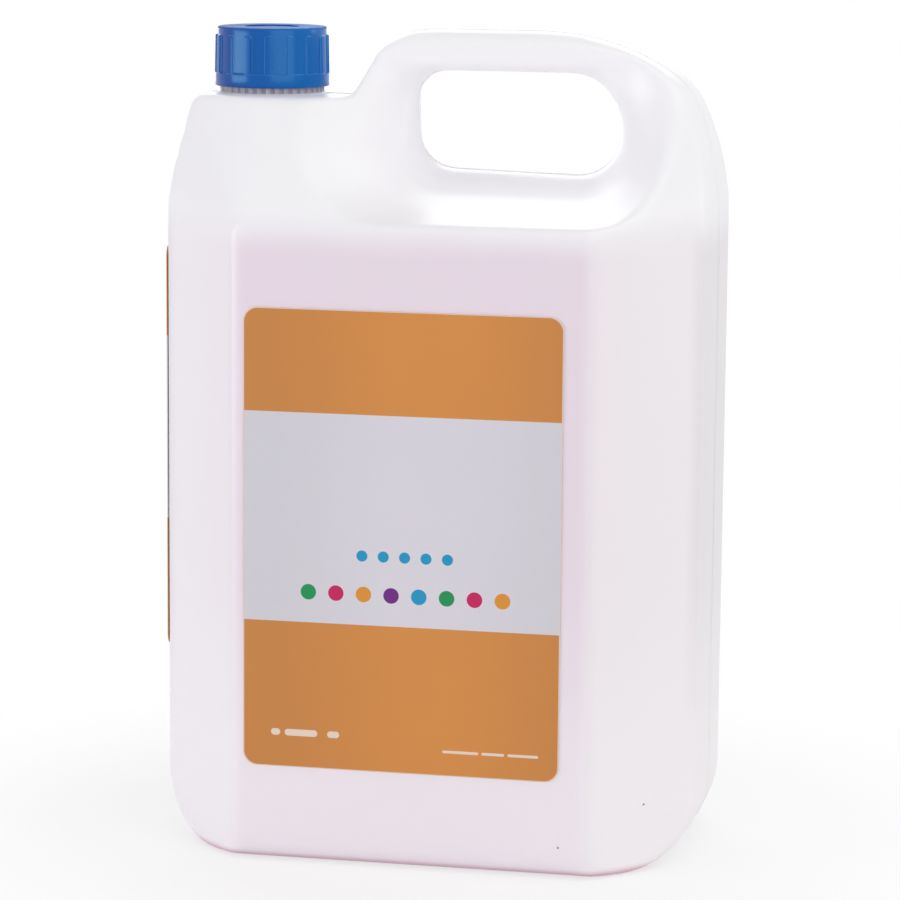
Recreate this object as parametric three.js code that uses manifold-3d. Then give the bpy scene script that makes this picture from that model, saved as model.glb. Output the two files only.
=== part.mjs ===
import * as THREE from "three";
import { mergeVertices } from "three/addons/utils/BufferGeometryUtils.js";
import Module from "manifold-3d";

const wasm = await Module();
wasm.setup();

// A five litre blow-moulded can of soap with a handle, a ribbed screw cap and two labels.
// X runs along the broad front, the front looks to -Y, Z is up, millimetres.
// The origin is the middle of the base. The mould parts on the plane y = 0.

// Body
const bodyHalfWidth = 98.7;
const bodyHalfDepth = 65;
const wall = 1.1;
const sideBow = 1.2;
const sideHalfDepth = 32;
const sideEdgeRadius = 5;
const panelHalfWidth = 64;
const panelCornerRadius = 3;
const panelEdgeRadius = 2.5;
const shoulderHeight = 229;
const baseCornerRadius = 24;
const baseEdgeRadius = 9;
const baseRecessDepth = 1.8;
const baseRimWidth = 6;

// Shoulder and the flat platform round the neck
const shoulderSlope = 0.82;
const stripTopRise = 8;
const sideNarrowing = 0.36;
const platformRise = 42.5;
const platformEdgeRadius = 6;
const platformCornerInset = 5.5;
const platformCornerRadius = 6;
const platformHeight = shoulderHeight + platformRise;
const platformCornerX = platformCornerInset - bodyHalfWidth;

// Neck
const neckInset = 31.9;
const neckRadius = 17.2;
const neckWall = 1.9;
const neckRise = 18.7;
const neckLipRound = 0.6;
const beadRadius = 18.3;
const beadHeight = 3.2;
const ratchetTeeth = 36;
const ratchetRadius = 19;
const ratchetHeight = 2.6;
const ratchetToothShare = 0.55;
const neckX = neckInset - bodyHalfWidth;
const neckLipHeight = platformHeight + neckRise;

// Handle: a foot on the platform, a knee, a flat grip and a turn down into the right side
const handleRise = 23.8;
const handleEdgeRadius = 14;
const handleFootReach = 32.8;
const handleFootFillet = 3.5;
const handleKneeReach = 8.8;
const handleKneeDrop = 9.8;
const handleFlatReach = 32;
const handleTurnInset = 14.7;
const handleTurnReach = 50;
const handleTurnDrop = 16.3;
const handleTop = platformHeight + handleRise;
const handleFootX = neckX + handleFootReach;
const handleKneeX = handleFootX + handleKneeReach;
const handleFlatLeft = handleFootX + handleFlatReach;
const handleTurnX = bodyHalfWidth - handleTurnInset;
const handleFlatRight = handleTurnX - handleTurnReach;

// Grip hole: narrowest on the parting plane, it widens into a hollow in both shoulders
const legWidth = 22.3;
const rightLegWidth = 36.5;
const gripThickness = 14.6;
const sillRiseLeft = 17;
const sillRiseRight = 14.6;
const holeRadii = [14, 15, 18, 10];
const hollowRadii = [20, 15, 6, 6];
const hollowLeft = 36;
const hollowRight = 38;
const gripRounding = 9;
const sillStep = 4.9;
const sillStepFrom = 0.04;
const sillStepTo = 0.38;
const sillFallFrom = 0.1;
const hollowLipRise = 1.5;
const hollowOverrun = 1.12;
const holeLeft = handleFootX + legWidth;
const holeRight = bodyHalfWidth - rightLegWidth;
const holeTop = handleTop - gripThickness;
const holeBottomLeft = shoulderHeight + sillRiseLeft;
const holeBottomRight = shoulderHeight + sillRiseRight;

// Cap
const capGap = 0.3;
const capBandRadius = 20.9;
const capBandHeight = 4.9;
const capRise = 2.1;
const capBoreRadius = 19.4;
const capTopRadius = 19.85;
const capRibs = 16;
const capRibShare = 0.44;
const capRibProud = 0.75;
const capRibStop = 3.4;
const capRimWidth = 1.9;
const capRecess = 1.4;
const capPlate = 1.5;
const capChamfer = 0.5;

// Liner, contents and labels
const linerThickness = 1.3;
const linerPlay = 0.5;
const soapHeadroom = 2;
const soapGap = 0.3;
const labelThickness = 0.4;
const labelGap = 0.3;
const frontLabel = { x: -2.9, width: 114.4, bottom: 35.6, top: 200.4, radius: 5 };
const sideLabel = { width: 62, bottom: 78, top: 213, radius: 4 };
const fillHeight = shoulderHeight - soapHeadroom;
const linerRadius = capBoreRadius - linerPlay;

const lerp = THREE.MathUtils.lerp;
const clamp = THREE.MathUtils.clamp;

// Plan and shoulder shape

const kneeX = bodyHalfWidth - sideBow;
const stripSlope = (bodyHalfDepth - sideHalfDepth) / (kneeX - panelHalfWidth);

function stripDepth(x) {
  const depth = sideHalfDepth + (kneeX - Math.abs(x)) * stripSlope;
  return clamp(depth, sideHalfDepth, bodyHalfDepth);
}

function slopeDepth(z) {
  return bodyHalfDepth - (z - shoulderHeight) * shoulderSlope;
}

function sideDepth(z) {
  return sideHalfDepth - Math.max(0, z - shoulderHeight - stripTopRise) * sideNarrowing;
}

// A straight level stretch of the outline in equal steps.
function addEdgeSteps(path, fromX, toX, z, steps) {
  for (let i = 1; i <= steps; i += 1) path.lineTo(lerp(fromX, toX, i / steps), z);
}

// Front outline of the can, which is also its parting line, from the base round to the left side.
function frontOutline() {
  const w = bodyHalfWidth;
  const r = baseCornerRadius;
  const kneeZ = handleTop - handleKneeDrop;
  const turnZ = handleTop - handleTurnDrop;
  const cornerZ = platformHeight - platformCornerRadius;
  const path = new THREE.Path();
  path.moveTo(-panelHalfWidth, 0);
  path.lineTo(panelHalfWidth, 0);
  addEdgeSteps(path, panelHalfWidth, w - r, 0, 3);
  path.absarc(w - r, r, r, -Math.PI / 2, 0, false);
  path.lineTo(w, shoulderHeight);
  path.bezierCurveTo(w, shoulderHeight + 20, handleTurnX + 9, turnZ - 8, handleTurnX, turnZ);
  path.bezierCurveTo(handleTurnX - 11, handleTop - 7.5, handleFlatRight + 22, handleTop,
    handleFlatRight, handleTop);
  path.lineTo(handleFlatLeft, handleTop);
  path.bezierCurveTo(handleFlatLeft - 14, handleTop, handleKneeX + 4, kneeZ + 7,
    handleKneeX, kneeZ);
  path.lineTo(handleFootX + handleFootFillet, platformHeight + handleFootFillet);
  path.quadraticCurveTo(handleFootX + 2, platformHeight, handleFootX - 2, platformHeight);
  path.lineTo(-panelHalfWidth, platformHeight);
  addEdgeSteps(path, -panelHalfWidth, platformCornerX + platformCornerRadius,
    platformHeight, 3);
  path.absarc(platformCornerX + platformCornerRadius, cornerZ, platformCornerRadius,
    Math.PI / 2, Math.PI, false);
  path.bezierCurveTo(platformCornerX - 2.2, cornerZ - 13, -w, shoulderHeight + 14,
    -w, shoulderHeight);
  path.lineTo(-w, r);
  path.absarc(r - w, r, r, Math.PI, Math.PI * 1.5, false);
  addEdgeSteps(path, r - w, -panelHalfWidth, 0, 3);
  return path;
}

function outlinePoints(detail) {
  const points = frontOutline().getPoints(detail);
  const kept = [];
  for (const p of points) {
    const last = kept[kept.length - 1];
    if (!last || last.distanceTo(p) > 1e-4) kept.push(p);
  }
  if (kept[0].distanceTo(kept[kept.length - 1]) < 1e-4) kept.pop();
  return kept;
}

// Outward normal of the outline at each of its points.
function outlineNormals(points) {
  return points.map((p, i) => {
    const before = points[(i + points.length - 1) % points.length];
    const after = points[(i + 1) % points.length];
    const a = p.clone().sub(before).normalize();
    const b = after.clone().sub(p).normalize();
    const along = a.add(b).normalize();
    return new THREE.Vector2(along.y, -along.x);
  });
}

// The nearest point of the flat front panel's rounded edge.
function panelEdge(p, inset) {
  const r = panelCornerRadius;
  const halfWidth = panelHalfWidth - inset;
  const inner = new THREE.Vector2(
    clamp(p.x, r - halfWidth, halfWidth - r),
    clamp(p.y, baseEdgeRadius + r, shoulderHeight - inset - r),
  );
  return p.clone().sub(inner).normalize().multiplyScalar(r).add(inner);
}

// A corner at b between a and c, rounded into an arc of steps + 1 points.
function fillet(a, b, c, radius, steps) {
  const back = a.clone().sub(b);
  const ahead = c.clone().sub(b);
  const reach = 0.98 * Math.min(back.length(), ahead.length());
  back.normalize();
  ahead.normalize();
  const across = back.clone().add(ahead);
  if (across.length() < 1e-6) return Array.from({ length: steps + 1 }, () => b.clone());
  const half = Math.acos(clamp(back.dot(ahead), -1, 1)) / 2;
  const tangent = Math.min(radius / Math.tan(half), reach);
  const r = tangent * Math.tan(half);
  const centre = across.normalize().multiplyScalar(r / Math.sin(half)).add(b);
  const start = back.multiplyScalar(tangent).add(b).sub(centre);
  const end = ahead.multiplyScalar(tangent).add(b).sub(centre);
  const from = start.angle();
  const turn = Math.atan2(start.cross(end), start.dot(end));
  const arc = [];
  for (let i = 0; i <= steps; i += 1) {
    const angle = from + (turn * i) / steps;
    arc.push(new THREE.Vector2(Math.cos(angle) * r, Math.sin(angle) * r).add(centre));
  }
  return arc;
}

// The half section at one outline point: (distance in from the outline, depth from y = 0).
function halfSection(p, normal, inset, steps) {
  const depth = bodyHalfDepth - inset;
  const edge = panelEdge(p, inset / 2);
  const run = edge.distanceTo(p);
  const facing = normal.y * normal.y;
  const upper = p.y > shoulderHeight / 2;
  const share = THREE.MathUtils.smoothstep(bodyHalfWidth - Math.abs(p.x), 0,
    bodyHalfWidth - panelHalfWidth);
  const onTop = lerp(sideDepth(p.y), slopeDepth(p.y), share);
  const kneeDepth = upper ? onTop : stripDepth(Math.abs(p.x) + inset);
  const stripInset = inset * (Math.hypot(1, stripSlope) - stripSlope);
  const slopeInset = inset * Math.hypot(1, shoulderSlope);
  const kneeInset = upper ? lerp(stripInset, slopeInset, share) : stripInset;
  const topRadius = p.x > handleFootX - 3 ? handleEdgeRadius : platformEdgeRadius;
  const capRadius = upper ? topRadius : baseEdgeRadius;
  const kneeRadius = Math.max(lerp(sideEdgeRadius, capRadius, facing) - inset, 1);
  const bow = sideBow * (1 - facing);
  const start = new THREE.Vector2(0, 0);
  const knee = new THREE.Vector2(bow, Math.min(kneeDepth - kneeInset, depth));
  const rim = new THREE.Vector2(run, depth);
  const inside = new THREE.Vector2(run + 2 * panelEdgeRadius, depth);
  const middle = new THREE.Vector2(bow / 4, knee.y / 2);
  const kneeArc = fillet(middle, knee, rim, kneeRadius, steps);
  const rimArc = fillet(kneeArc[kneeArc.length - 1], rim, inside, panelEdgeRadius, 2);
  return { edge, points: [start, middle, ...kneeArc, ...rimArc] };
}

// Rings of points, front to back, each ring following the outline.
function bodyRings(inset, detail, steps) {
  const raw = outlinePoints(detail);
  const normals = outlineNormals(raw);
  const points = raw.map((p, i) => p.clone().addScaledVector(normals[i], -inset));
  const sections = points.map((p, i) => halfSection(p, normals[i], inset, steps));
  const count = sections[0].points.length;
  const rings = [];
  for (let side = -1; side <= 1; side += 2) {
    for (let k = 0; k < count; k += 1) {
      const index = side < 0 ? count - 1 - k : k;
      if (side > 0 && index === 0) continue;
      rings.push(points.map((p, i) => {
        const s = sections[i].points[index];
        const inward = sections[i].edge.clone().sub(p).normalize();
        const place = inward.multiplyScalar(s.x).add(p);
        return new THREE.Vector3(place.x, side * s.y, place.y);
      }));
    }
  }
  return rings;
}

// Solids from rings and geometries

function toSolid(geometry) {
  const bare = geometry.clone();
  bare.deleteAttribute("normal");
  bare.deleteAttribute("uv");
  const merged = mergeVertices(bare, 1e-4);
  const index = merged.index.array;
  const triangles = [];
  for (let i = 0; i < index.length; i += 3) {
    const [a, b, c] = [index[i], index[i + 1], index[i + 2]];
    if (a !== b && b !== c && c !== a) triangles.push(a, b, c);
  }
  return new wasm.Manifold(new wasm.Mesh({
    numProp: 3,
    vertProperties: new Float32Array(merged.attributes.position.array),
    triVerts: new Uint32Array(triangles),
  }));
}

function toGeometry(solid) {
  const mesh = solid.getMesh();
  const geometry = new THREE.BufferGeometry();
  geometry.setAttribute("position", new THREE.BufferAttribute(mesh.vertProperties, 3));
  geometry.setIndex(new THREE.BufferAttribute(mesh.triVerts, 1));
  geometry.computeVertexNormals();
  return geometry;
}

// Skin over a row of rings, closed at both ends by a fan round each end's middle.
// Each quad is split along its shorter diagonal.
function skin(rings) {
  const count = rings[0].length;
  const points = rings.flat();
  const positions = points.flatMap((p) => p.toArray());
  const index = [];
  for (let k = 0; k + 1 < rings.length; k += 1) {
    for (let i = 0; i < count; i += 1) {
      const a = k * count + i;
      const b = k * count + ((i + 1) % count);
      const c = a + count;
      const d = b + count;
      const split = points[a].distanceTo(points[d]) - points[b].distanceTo(points[c]);
      if (split < 1e-3) index.push(a, b, d, a, d, c);
      else index.push(a, b, c, b, d, c);
    }
  }
  for (const end of [0, rings.length - 1]) {
    const middle = new THREE.Vector3();
    for (const p of rings[end]) middle.addScaledVector(p, 1 / count);
    const centre = positions.length / 3;
    positions.push(middle.x, middle.y, middle.z);
    for (let i = 0; i < count; i += 1) {
      const a = end * count + i;
      const b = end * count + ((i + 1) % count);
      if (end === 0) index.push(centre, b, a);
      else index.push(centre, a, b);
    }
  }
  const geometry = new THREE.BufferGeometry();
  geometry.setAttribute("position", new THREE.Float32BufferAttribute(positions, 3));
  geometry.setIndex(index);
  return geometry;
}

// A solid from rings whose winding may run either way.
function ringSolid(rings) {
  const points = rings[0];
  const ahead = rings[1][0].clone().sub(points[0]);
  const area = new THREE.Vector3();
  for (let i = 0; i < points.length; i += 1) {
    area.add(points[i].clone().cross(points[(i + 1) % points.length]));
  }
  const travel = rings[rings.length - 1][0].clone().sub(points[0]).add(ahead);
  const outward = area.dot(travel) > 0;
  return toSolid(skin(outward ? rings : rings.map((ring) => [...ring].reverse())));
}

function lathe(profile, segments, x) {
  const points = profile.map(([r, z]) => new THREE.Vector2(r, z));
  const geometry = new THREE.LatheGeometry(points, segments);
  geometry.rotateX(Math.PI / 2);
  geometry.translate(x, 0, 0);
  return toSolid(geometry);
}

function box(x0, x1, y0, y1, z0, z1) {
  const geometry = new THREE.BoxGeometry(x1 - x0, y1 - y0, z1 - z0);
  geometry.translate((x0 + x1) / 2, (y0 + y1) / 2, (z0 + z1) / 2);
  return toSolid(geometry);
}

// Grip hole

// A section on one of the planes that fan out from where the two shoulder slopes would meet.
// The share is 0 on the parting plane and 1 on the face of the shoulder.
function holeRing(share, grow, steps) {
  const deep = Math.abs(share) + grow / slopeDepth(holeBottomRight);
  const step = sillStep * THREE.MathUtils.smoothstep(deep, sillStepFrom, sillStepTo);
  const fall = Math.max(0, deep - sillFallFrom) / (1 - sillFallFrom);
  const sill = (rise) => shoulderHeight + rise - step
    - fall * (rise - sillStep - hollowLipRise) - grow;
  const left = holeLeft - hollowLeft * deep ** 2.5 - grow;
  const right = holeRight + hollowRight * deep ** 2 + grow;
  const top = holeTop + gripRounding * deep ** 3 + grow;
  const corners = [
    [left, sill(sillRiseLeft)],
    [right, sill(sillRiseRight)],
    [right, top],
    [left, top],
  ].map(([x, z]) => new THREE.Vector2(x, z));
  const ring = corners.flatMap((corner, i) => fillet(corners[(i + 3) % 4], corner,
    corners[(i + 1) % 4], holeRadii[i] + hollowRadii[i] * deep ** 2, steps));
  return ring.map((p) => new THREE.Vector3(p.x, share * slopeDepth(p.y), p.y));
}

function gripHole(grow, steps, stations) {
  const rings = [];
  for (let i = -stations; i <= stations; i += 1) {
    rings.push(holeRing((hollowOverrun * i) / stations, grow, steps));
  }
  return ringSolid(rings);
}

// Neck with its bead and the ring of ratchet teeth under the cap

function neckSolid() {
  const r = neckLipRound;
  const root = platformHeight - 6;
  const bead = platformHeight + beadHeight;
  return lathe([
    [0, root],
    [beadRadius - 1, root],
    [beadRadius, platformHeight],
    [beadRadius, bead - 0.5],
    [beadRadius - 0.5, bead],
    [neckRadius, bead + 0.4],
    [neckRadius, neckLipHeight - r],
    [neckRadius - r, neckLipHeight],
    [0, neckLipHeight],
  ], 48, neckX);
}

function ratchetRing() {
  const pitch = (2 * Math.PI) / ratchetTeeth;
  const half = (pitch * ratchetToothShare) / 2;
  const shape = new THREE.Shape();
  for (let i = 0; i < ratchetTeeth; i += 1) {
    const middle = i * pitch;
    const tooth = [
      [beadRadius - 0.3, middle - half * 1.15],
      [ratchetRadius, middle - half * 0.8],
      [ratchetRadius, middle + half * 0.8],
      [beadRadius - 0.3, middle + half * 1.15],
    ];
    tooth.forEach(([r, angle], k) => {
      const x = r * Math.cos(angle);
      const y = r * Math.sin(angle);
      if (i === 0 && k === 0) shape.moveTo(x, y);
      else shape.lineTo(x, y);
    });
  }
  const geometry = new THREE.ExtrudeGeometry(shape, {
    depth: ratchetHeight + 1, bevelEnabled: false,
  });
  geometry.translate(neckX, 0, platformHeight - 1);
  return toSolid(geometry);
}

// The shallow hollow in the base, inside the rim that the can stands on.
function baseRecess(grow) {
  const halfWidth = bodyHalfWidth - baseCornerRadius - baseRimWidth;
  const halfDepth = bodyHalfDepth - baseEdgeRadius - baseRimWidth;
  const rings = [[-1, 1], [baseRecessDepth + grow, -1]].map(([z, flare]) => {
    const w = halfWidth + flare + grow;
    const d = halfDepth + flare + grow;
    const corners = [[-w, -d], [w, -d], [w, d], [-w, d]].map(([x, y]) => new THREE.Vector2(x, y));
    const ring = corners.flatMap((corner, i) => fillet(
      corners[(i + 3) % 4], corner, corners[(i + 1) % 4], baseCornerRadius, 4));
    return ring.map((p) => new THREE.Vector3(p.x, p.y, z));
  });
  return ringSolid(rings);
}

// The space inside a shell of the given thickness.
function cavity(inset) {
  return ringSolid(bodyRings(inset, 3, 2))
    .subtract(gripHole(inset, 5, 9))
    .subtract(baseRecess(inset));
}

function bottleSolid() {
  const outer = ringSolid(bodyRings(0, 7, 5))
    .subtract(gripHole(0, 6, 9))
    .subtract(baseRecess(0));
  const inner = cavity(wall);
  const root = platformHeight - neckWall - 5;
  const bore = lathe([
    [0, root],
    [neckRadius - neckWall, root],
    [neckRadius - neckWall, neckLipHeight + 1],
    [0, neckLipHeight + 1],
  ], 48, neckX);
  return outer.add(neckSolid()).add(ratchetRing()).subtract(inner).subtract(bore);
}

// Cap: ribs stand on a slightly conical skirt, flush with the plain band below them

const capBottom = platformHeight + capRise;
const linerTop = neckLipHeight + capGap + linerThickness;
const capTop = linerTop + capGap + capPlate + capRecess;

function capRing(z, base, proud) {
  const points = [];
  const pitch = (2 * Math.PI) / capRibs;
  const half = capRibShare / 2;
  const stops = [-half - 0.03, -half, -half + 0.06, half - 0.06, half, half + 0.03];
  const lift = [0, 0.55, 1, 1, 0.55, 0];
  for (let i = 0; i < capRibs; i += 1) {
    stops.forEach((stop, k) => {
      const angle = (i + 0.5 + stop) * pitch;
      const r = base + proud * lift[k];
      points.push(new THREE.Vector3(neckX + r * Math.cos(angle), r * Math.sin(angle), z));
    });
    const gap = (i + 1) * pitch;
    points.push(new THREE.Vector3(neckX + base * Math.cos(gap), base * Math.sin(gap), z));
  }
  return points;
}

function capSolid() {
  const bandTop = capBottom + capBandHeight;
  const ribTop = capTop - capRibStop;
  const foot = capBandRadius - capRibProud;
  const taper = (z) => lerp(foot, capTopRadius, (z - bandTop) / (capTop - bandTop));
  const outer = ringSolid([
    capRing(capBottom, capBandRadius - capChamfer, 0),
    capRing(capBottom + capChamfer, capBandRadius, 0),
    capRing(bandTop - 0.35, capBandRadius, 0),
    capRing(bandTop, foot, capRibProud),
    capRing(ribTop - 0.8, taper(ribTop - 0.8), capRibProud),
    capRing(ribTop - 0.2, taper(ribTop - 0.2), capRibProud * 0.6),
    capRing(ribTop, taper(ribTop), 0),
    capRing(capTop - 0.4, taper(capTop - 0.4), 0),
    capRing(capTop, capTopRadius - 0.4, 0),
  ]);
  const floor = capTop - capRecess;
  const rim = capTopRadius - capRimWidth;
  const recess = lathe([
    [0, floor],
    [rim - 0.5, floor],
    [rim, floor + 0.5],
    [rim + 0.1, capTop + 1],
    [0, capTop + 1],
  ], 48, neckX);
  const roof = floor - capPlate;
  const bore = lathe([
    [0, capBottom - 1],
    [capBoreRadius, capBottom - 1],
    [capBoreRadius, roof - 1.2],
    [capBoreRadius - 0.4, roof],
    [0, roof],
  ], 48, neckX);
  return outer.subtract(recess).subtract(bore);
}

function linerSolid() {
  return lathe([
    [0, linerTop - linerThickness],
    [linerRadius, linerTop - linerThickness],
    [linerRadius, linerTop],
    [0, linerTop],
  ], 48, neckX);
}

// Soap up to the fill line

function soapSolid() {
  const w = bodyHalfWidth + 1;
  const d = bodyHalfDepth + 1;
  return cavity(wall + soapGap).intersect(box(-w, w, -d, d, -1, fillHeight));
}

// Labels

function roundedRectangle(x, z, width, height, radius) {
  const shape = new THREE.Shape();
  const corners = [
    [x + width - radius, z + radius, -Math.PI / 2],
    [x + width - radius, z + height - radius, 0],
    [x + radius, z + height - radius, Math.PI / 2],
    [x + radius, z + radius, Math.PI],
  ];
  for (const [cx, cz, from] of corners) {
    shape.absarc(cx, cz, radius, from, from + Math.PI / 2, false);
  }
  return shape;
}

function plate(label, x, depth) {
  const height = label.top - label.bottom;
  const shape = roundedRectangle(x - label.width / 2, label.bottom, label.width, height,
    label.radius);
  return new THREE.ExtrudeGeometry(shape, { depth, bevelEnabled: false, curveSegments: 5 });
}

function frontLabelSolid() {
  const geometry = plate(frontLabel, frontLabel.x, labelThickness);
  geometry.rotateX(Math.PI / 2);
  geometry.translate(0, -bodyHalfDepth, 0);
  return toSolid(geometry);
}

// The side label follows the bow of the left side.
function sideLabelSolid() {
  const steps = 10;
  const half = sideHalfDepth;
  const bowAt = (y) => sideBow * (y / half) ** 2;
  const near = [];
  const far = [];
  for (let i = 0; i <= steps; i += 1) {
    const y = lerp(-half, half, i / steps);
    const x = bowAt(y) - bodyHalfWidth - labelGap;
    near.push(new THREE.Vector2(x, y));
    far.unshift(new THREE.Vector2(x - labelThickness, y));
  }
  const strip = new THREE.ExtrudeGeometry(new THREE.Shape([...near, ...far]), {
    depth: sideLabel.top - sideLabel.bottom + 2, bevelEnabled: false,
  });
  strip.translate(0, 0, sideLabel.bottom - 1);
  const mask = plate(sideLabel, 0, 10);
  mask.rotateX(Math.PI / 2);
  mask.rotateZ(-Math.PI / 2);
  mask.translate(3 - bodyHalfWidth, 0, 0);
  return toSolid(strip).intersect(toSolid(mask));
}

// Materials and scene

function material(color, roughness) {
  return new THREE.MeshStandardMaterial({ color, roughness, metalness: 0 });
}

const part = new THREE.Group();

function addNode(name, solid, look) {
  const mesh = new THREE.Mesh(toGeometry(solid), look);
  mesh.name = name;
  part.add(mesh);
}

addNode("bottle", bottleSolid(), material(0xf1ecf1, 0.4));
addNode("soap", soapSolid(), material(0xe4b8d2, 0.2));
addNode("cap", capSolid(), material(0x1f5fae, 0.35));
addNode("cap_liner", linerSolid(), material(0xf4f4f2, 0.8));
addNode("front_label", frontLabelSolid(), material(0xcf8a4c, 0.45));
addNode("side_label", sideLabelSolid(), material(0xcf8a4c, 0.45));

export default part;
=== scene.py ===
import math

import bmesh
import bpy
import numpy as np
from mathutils import Matrix, Vector


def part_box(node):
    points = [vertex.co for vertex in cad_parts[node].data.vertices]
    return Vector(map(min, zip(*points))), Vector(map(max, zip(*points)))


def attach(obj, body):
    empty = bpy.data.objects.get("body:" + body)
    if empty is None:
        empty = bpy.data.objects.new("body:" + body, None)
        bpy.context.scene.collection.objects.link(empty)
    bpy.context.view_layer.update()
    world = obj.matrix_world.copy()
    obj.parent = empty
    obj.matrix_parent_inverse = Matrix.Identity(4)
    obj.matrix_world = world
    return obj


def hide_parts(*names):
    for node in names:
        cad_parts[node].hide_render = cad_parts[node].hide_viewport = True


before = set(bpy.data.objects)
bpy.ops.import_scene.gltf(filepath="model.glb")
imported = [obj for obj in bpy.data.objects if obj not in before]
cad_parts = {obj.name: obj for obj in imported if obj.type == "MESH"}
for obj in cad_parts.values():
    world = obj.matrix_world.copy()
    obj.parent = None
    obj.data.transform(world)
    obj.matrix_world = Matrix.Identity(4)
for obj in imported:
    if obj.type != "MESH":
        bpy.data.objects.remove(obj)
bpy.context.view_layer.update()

MM = 0.001

# Lowest and highest corners of the solids, in metres
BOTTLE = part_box("bottle")
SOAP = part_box("soap")
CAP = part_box("cap")
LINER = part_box("cap_liner")
FRONT_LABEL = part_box("front_label")
SIDE_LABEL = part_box("side_label")

# Neck, under the cap
NECK_X = (CAP[0].x + CAP[1].x) / 2
PLATFORM = CAP[0].z - 2.1 * MM
LIP = LINER[0].z - 0.3 * MM
NECK_RADIUS = 17.2 * MM
BORE_RADIUS = 15.3 * MM
NECK_CLEAR_RADIUS = 20.2 * MM
NECK_ROOT_DEPTH = 0.6 * MM
ABOVE_LIP = LIP + 5 * MM
MOUTH_RISE = 2 * MM

# Screw thread on the neck and in the cap
THREAD_PITCH = 4.0 * MM
THREAD_HALF_FOOT = 0.95 * MM
THREAD_HALF_CREST = 0.35 * MM
THREAD_SUNK = 0.25 * MM
THREAD_STEPS = 72
THREAD_FADE_STEPS = 6
THREAD_END_SHARE = 0.05
NECK_THREAD_CREST = 18.1 * MM
NECK_THREAD_START = LIP - 9.4 * MM
NECK_THREAD_TURNS = 1.6
CAP_THREAD_CREST = 18.45 * MM
CAP_THREAD_START = CAP[0].z + 5.2 * MM
CAP_THREAD_TURNS = 1.5

# Cap
CAP_BAND_RADIUS = (CAP[1].x - CAP[0].x) / 2
CAP_BAND_TOP = CAP[0].z + 4.9 * MM
CAP_TOP_RADIUS = 19.85 * MM
CAP_BORE_RADIUS = 19.4 * MM
CAP_RIBS = 16
CAP_RIB_PITCH = 2 * math.pi / CAP_RIBS
CAP_RIB_PROUD = 0.75 * MM
CAP_RIB_TOP = CAP[1].z - 2.7 * MM
CAP_RIB_HALF = 1.8 * MM
CAP_RIB_CORNER = 1.25 * MM
CAP_RIB_EDGE = 0.45 * MM
CAP_ROOF = CAP[1].z - 2.9 * MM
CAP_RECESS_RADIUS = 10.0 * MM
CAP_RECESS_FLOOR = CAP[1].z - 0.5 * MM

# Columns of the cap's mesh on each side of a rib's middle, as shares of the pitch, close at its edge
RIB_COLUMNS = (0.03, 0.09, 0.12, 0.14, 0.158, 0.172, 0.186, 0.2, 0.212, 0.224, 0.25, 0.32, 0.42)

# Rows of the cap's mesh up a rib, as shares of its plain height, and then close rows round its top
RIB_ROWS = (0.2, 0.4, 0.6, 0.8)
RIB_PLAIN_STOP = 2 * MM
RIB_TOP_ROWS = 14
RIB_TOP_ROW_STEP = 0.18
RIB_TOP_ROW_END = 0.25

# Bottle surface
VOXEL = 1.65 * MM
SHOULDER = SOAP[1].z + 2.0 * MM
PANEL_HALF_WIDTH = 64 * MM
RELAX_ROUNDS = 10
GRIP_RELAX_ROUNDS = 90
GRIP_FADE_X = (-62 * MM, -40 * MM)
GRIP_FADE_Z = (SHOULDER + 1 * MM, SHOULDER + 9 * MM)
SKIN_SUNK = 0.05 * MM
PARTING_RIDGE = 0.28 * MM
PARTING_HALF_WIDTH = 0.5 * MM
PARTING_SINK_REACH = 7 * MM
PARTING_CAP_RADIUS = 19.5 * MM
PARTING_CAP_FOOT = PLATFORM - 2 * MM
PARTING_LEAST_POINTS = 40

# The upward share of a normal below which a face belongs to the base
BASE_NORMAL = -0.5

# Edges sharper than these angles, in degrees, stay sharp
BOTTLE_SHARP = 35
RIDGE_SHARP = 80
CAP_SHARP = 40

# The parting line's section: shares of its half width across, and of its height out of the skin
PARTING_SECTION = ((-1, -0.35), (-0.35, 1), (0.35, 1), (1, -0.35))

# Camera, fitted to the photograph
IMAGE_WIDTH = 900
CAMERA_PLACE = Vector((0.2838, -1.3325, 0.3654))
CAMERA_RIGHT = Vector((0.97782, 0.20926, 0.00846))
CAMERA_UP = Vector((-0.0421, 0.1568, 0.98673))
CAMERA_FOCAL_PIXELS = 3765.4
CAMERA_REACH = 20.0
SENSOR_WIDTH = 36.0


def make_camera():
    data = bpy.data.cameras.new("camera")
    data.sensor_width = SENSOR_WIDTH
    data.lens = SENSOR_WIDTH * CAMERA_FOCAL_PIXELS / IMAGE_WIDTH
    data.clip_end = CAMERA_REACH
    camera = bpy.data.objects.new("camera", data)
    bpy.context.collection.objects.link(camera)
    back = CAMERA_RIGHT.cross(CAMERA_UP).normalized()
    up = back.cross(CAMERA_RIGHT).normalized()
    right = up.cross(back)
    turn = Matrix((right, up, back)).transposed().to_4x4()
    camera.matrix_world = Matrix.Translation(CAMERA_PLACE) @ turn
    bpy.context.scene.camera = camera


# Shader building

def linear(red, green, blue):
    """A colour on the usual 0 to 255 scale as the linear values that shaders take."""
    values = []
    for value in (red, green, blue):
        share = value / 255
        values.append(share / 12.92 if share <= 0.04045 else ((share + 0.055) / 1.055) ** 2.4)
    return (*values, 1.0)


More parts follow.
